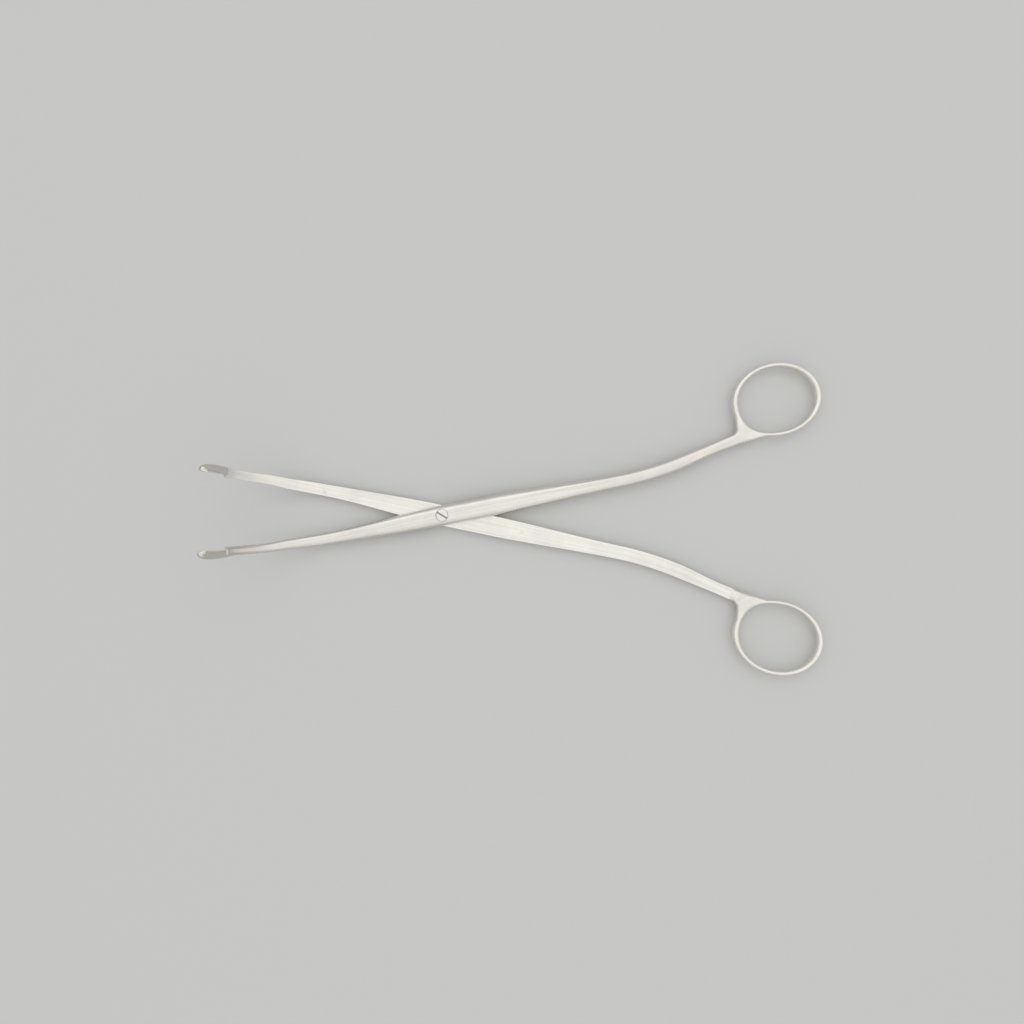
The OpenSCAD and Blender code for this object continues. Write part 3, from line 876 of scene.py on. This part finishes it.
# lets the neck flow into the web of its ring
def blendWeb(obj, layer):
    places = vertexTable(obj, "place") * 1000
    along, across, out, faceOut = followArm(places, vertexTable(obj, "normal"), layer)
    near = smoothShare(along - neckPlace, *armFinish["blendIn"])
    near = near * (1 - smoothShare(along - neckPlace, *armFinish["blendOut"]))
    weightGroup(obj, "blend", near * (along > 0) * (np.abs(across) < armFinish["blendReach"]))
    applyModifier(obj, "SMOOTH", factor=0.5, iterations=armFinish["blendRounds"], vertex_group="blend")
    obj.vertex_groups.clear()


# what the steel reads from the mesh: the way of the grinding, and where each finish lies
def paintArm(obj, layer):
    places = vertexTable(obj, "place") * 1000
    along, across, out, faceOut = followArm(places, vertexTable(obj, "normal"), layer)
    ringAlong, ringAcross = followRing(places)
    pastNeck, pastStep = along - neckPlace, -along - stepPlace
    milled = smoothShare(-faceOut, *armFinish["milledFacing"]) * (out < armFinish["milledDepth"])
    milled = milled * (1 - smoothShare(pastNeck, *armFinish["milledEnd"]))
    milled = milled * (1 - smoothShare(pastStep, *armFinish["milledStep"]))
    bend = bendOfSurface(obj, armFinish["bendRounds"])
    storeVector(obj, "flow", np.stack([along, across, out], 1) * 0.001)
    storeVector(obj, "ringFlow", np.stack([ringAlong, ringAcross, places[:, 2]], 1) * 0.001)
    storeFloat(obj, "inRing", smoothShare(pastNeck, *armFinish["ringFrom"]))
    storeFloat(obj, "jaw", smoothShare(pastStep, *armFinish["jawFrom"]))
    storeFloat(obj, "cup", cupShare(places))
    storeFloat(obj, "milled", milled)
    storeFloat(obj, "edge", smoothShare(bend, *armFinish["edgeFrom"]))
    storeFloat(obj, "crevice", smoothShare(-bend, *armFinish["cornerFrom"]))


# out of the closed forceps, where it is made, to where it lies open
def openArm(obj, layer):
    turn = Matrix.Rotation(math.radians(shape["halfOpen"]) * layer, 4, "Z") @ Matrix.Scale(layer, 4, (0, 1, 0))
    screw = Matrix.Translation((shape["screwX"] * 0.001, 0, shape["screwZ"] * 0.001))
    obj.data.transform(screw @ turn)
    if layer < 0:
        obj.data.flip_normals()


# made closed, about the screw: the arm below is the one on top turned over
def makeArm(name, piece):
    layer = piece["layer"]
    obj = wrapGrid(name, [armSection(s, piece) for s in armStations(piece)], False)
    forge(obj, addStepCutter(), "DIFFERENCE")
    forge(obj, wrapGrid("jaw", [jawSection(t, notch) for t, notch in jawRows()], False), "UNION")
    forge(obj, wrapGrid("ring", [ringSection(angle) for angle in ringAngles()], True), "UNION")
    blendWeb(obj, layer)
    cutBore(obj, layer)
    paintArm(obj, layer)
    openArm(obj, layer)
    selectOnly(obj)
    bpy.ops.object.shade_smooth_by_angle(angle=math.radians(armFinish["sharpAngle"]))
    obj.data.materials.clear()
    obj.data.materials.append(armMaterial)
    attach(obj, piece["body"])
    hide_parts(piece["node"])
    print(name, "finished:", len(obj.data.polygons), "faces")
    return obj


for name, piece in armPieces.items():
    makeArm(name, piece)


screwFinish = {"bevel": {"width": 0.00006, "segments": 3, "limit_method": "ANGLE"}, "sharpAngle": 32}


def finishScrew():
    obj = forgedCopy("pivot_screw", "pivotScrew")
    angle = math.radians(screwFinish["sharpAngle"])
    applyModifier(obj, "BEVEL", angle_limit=angle, **screwFinish["bevel"])
    selectOnly(obj)
    bpy.ops.object.shade_smooth_by_angle(angle=angle)
    obj.data.materials.append(screwMaterial)
    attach(obj, "lower")
    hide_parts("pivot_screw")
    print("pivotScrew finished:", len(obj.data.polygons), "faces")
    return obj


finishScrew()


# pale floor, one wide soft lamp overhead, four smaller ones around and an even, dimmer room
stageSetup = {
    "floorColor": (0.62, 0.62, 0.61, 1),
    "floorHalf": 3.0,
    "roomColor": (0.52, 0.52, 0.515, 1),
    "lamps": [
        {"name": "lampOverhead", "place": (0.0, 0.05, 0.90), "size": (1.9, 1.7), "level": 0.50},
        {"name": "lampFarSide", "place": (-0.05, 0.70, 0.60), "size": (1.6, 0.6), "level": 0.30},
        {"name": "lampNearSide", "place": (-0.05, -0.75, 0.42), "size": (1.6, 0.6), "level": 0.33},
        {"name": "lampBehindRings", "place": (1.0, 0.0, 0.50), "size": (0.9, 0.7), "level": 0.35},
        {"name": "lampBeforeJaws", "place": (-1.0, 0.0, 0.45), "size": (0.5, 0.4), "level": 0.50},
    ],
}


def addFloor():
    bpy.ops.object.select_all(action="DESELECT")
    bpy.ops.mesh.primitive_plane_add(size=2 * stageSetup["floorHalf"], location=(0, 0, 0))
    floor = bpy.context.active_object
    floor.name = "floor"
    material, tree, shader = newMaterial("paleFloor")
    shader.inputs["Base Color"].default_value = stageSetup["floorColor"]
    shader.inputs["Roughness"].default_value = 0.85
    shader.inputs["Specular IOR Level"].default_value = 0.2
    floor.data.materials.append(material)


def addLamps():
    for lamp in stageSetup["lamps"]:
        data = bpy.data.lights.new(lamp["name"], "AREA")
        data.shape = "RECTANGLE"
        data.size, data.size_y = lamp["size"]
        data.energy = lamp["level"] * math.pi * lamp["size"][0] * lamp["size"][1]
        obj = bpy.data.objects.new(lamp["name"], data)
        obj.location = lamp["place"]
        obj.rotation_euler = (-Vector(lamp["place"])).to_track_quat("-Z", "Y").to_euler()
        scene.collection.objects.link(obj)


def addRoom():
    world = bpy.data.worlds.new("evenRoom")
    world.use_nodes = True
    tree = world.node_tree
    tree.nodes.clear()
    light = addNode(tree, "ShaderNodeBackground", inputs={"Color": stageSetup["roomColor"], "Strength": 1.0})
    output = addNode(tree, "ShaderNodeOutputWorld")
    tree.links.new(light.outputs[0], output.inputs["Surface"])
    scene.world = world


addFloor()
addLamps()
addRoom()
print("stage ready")
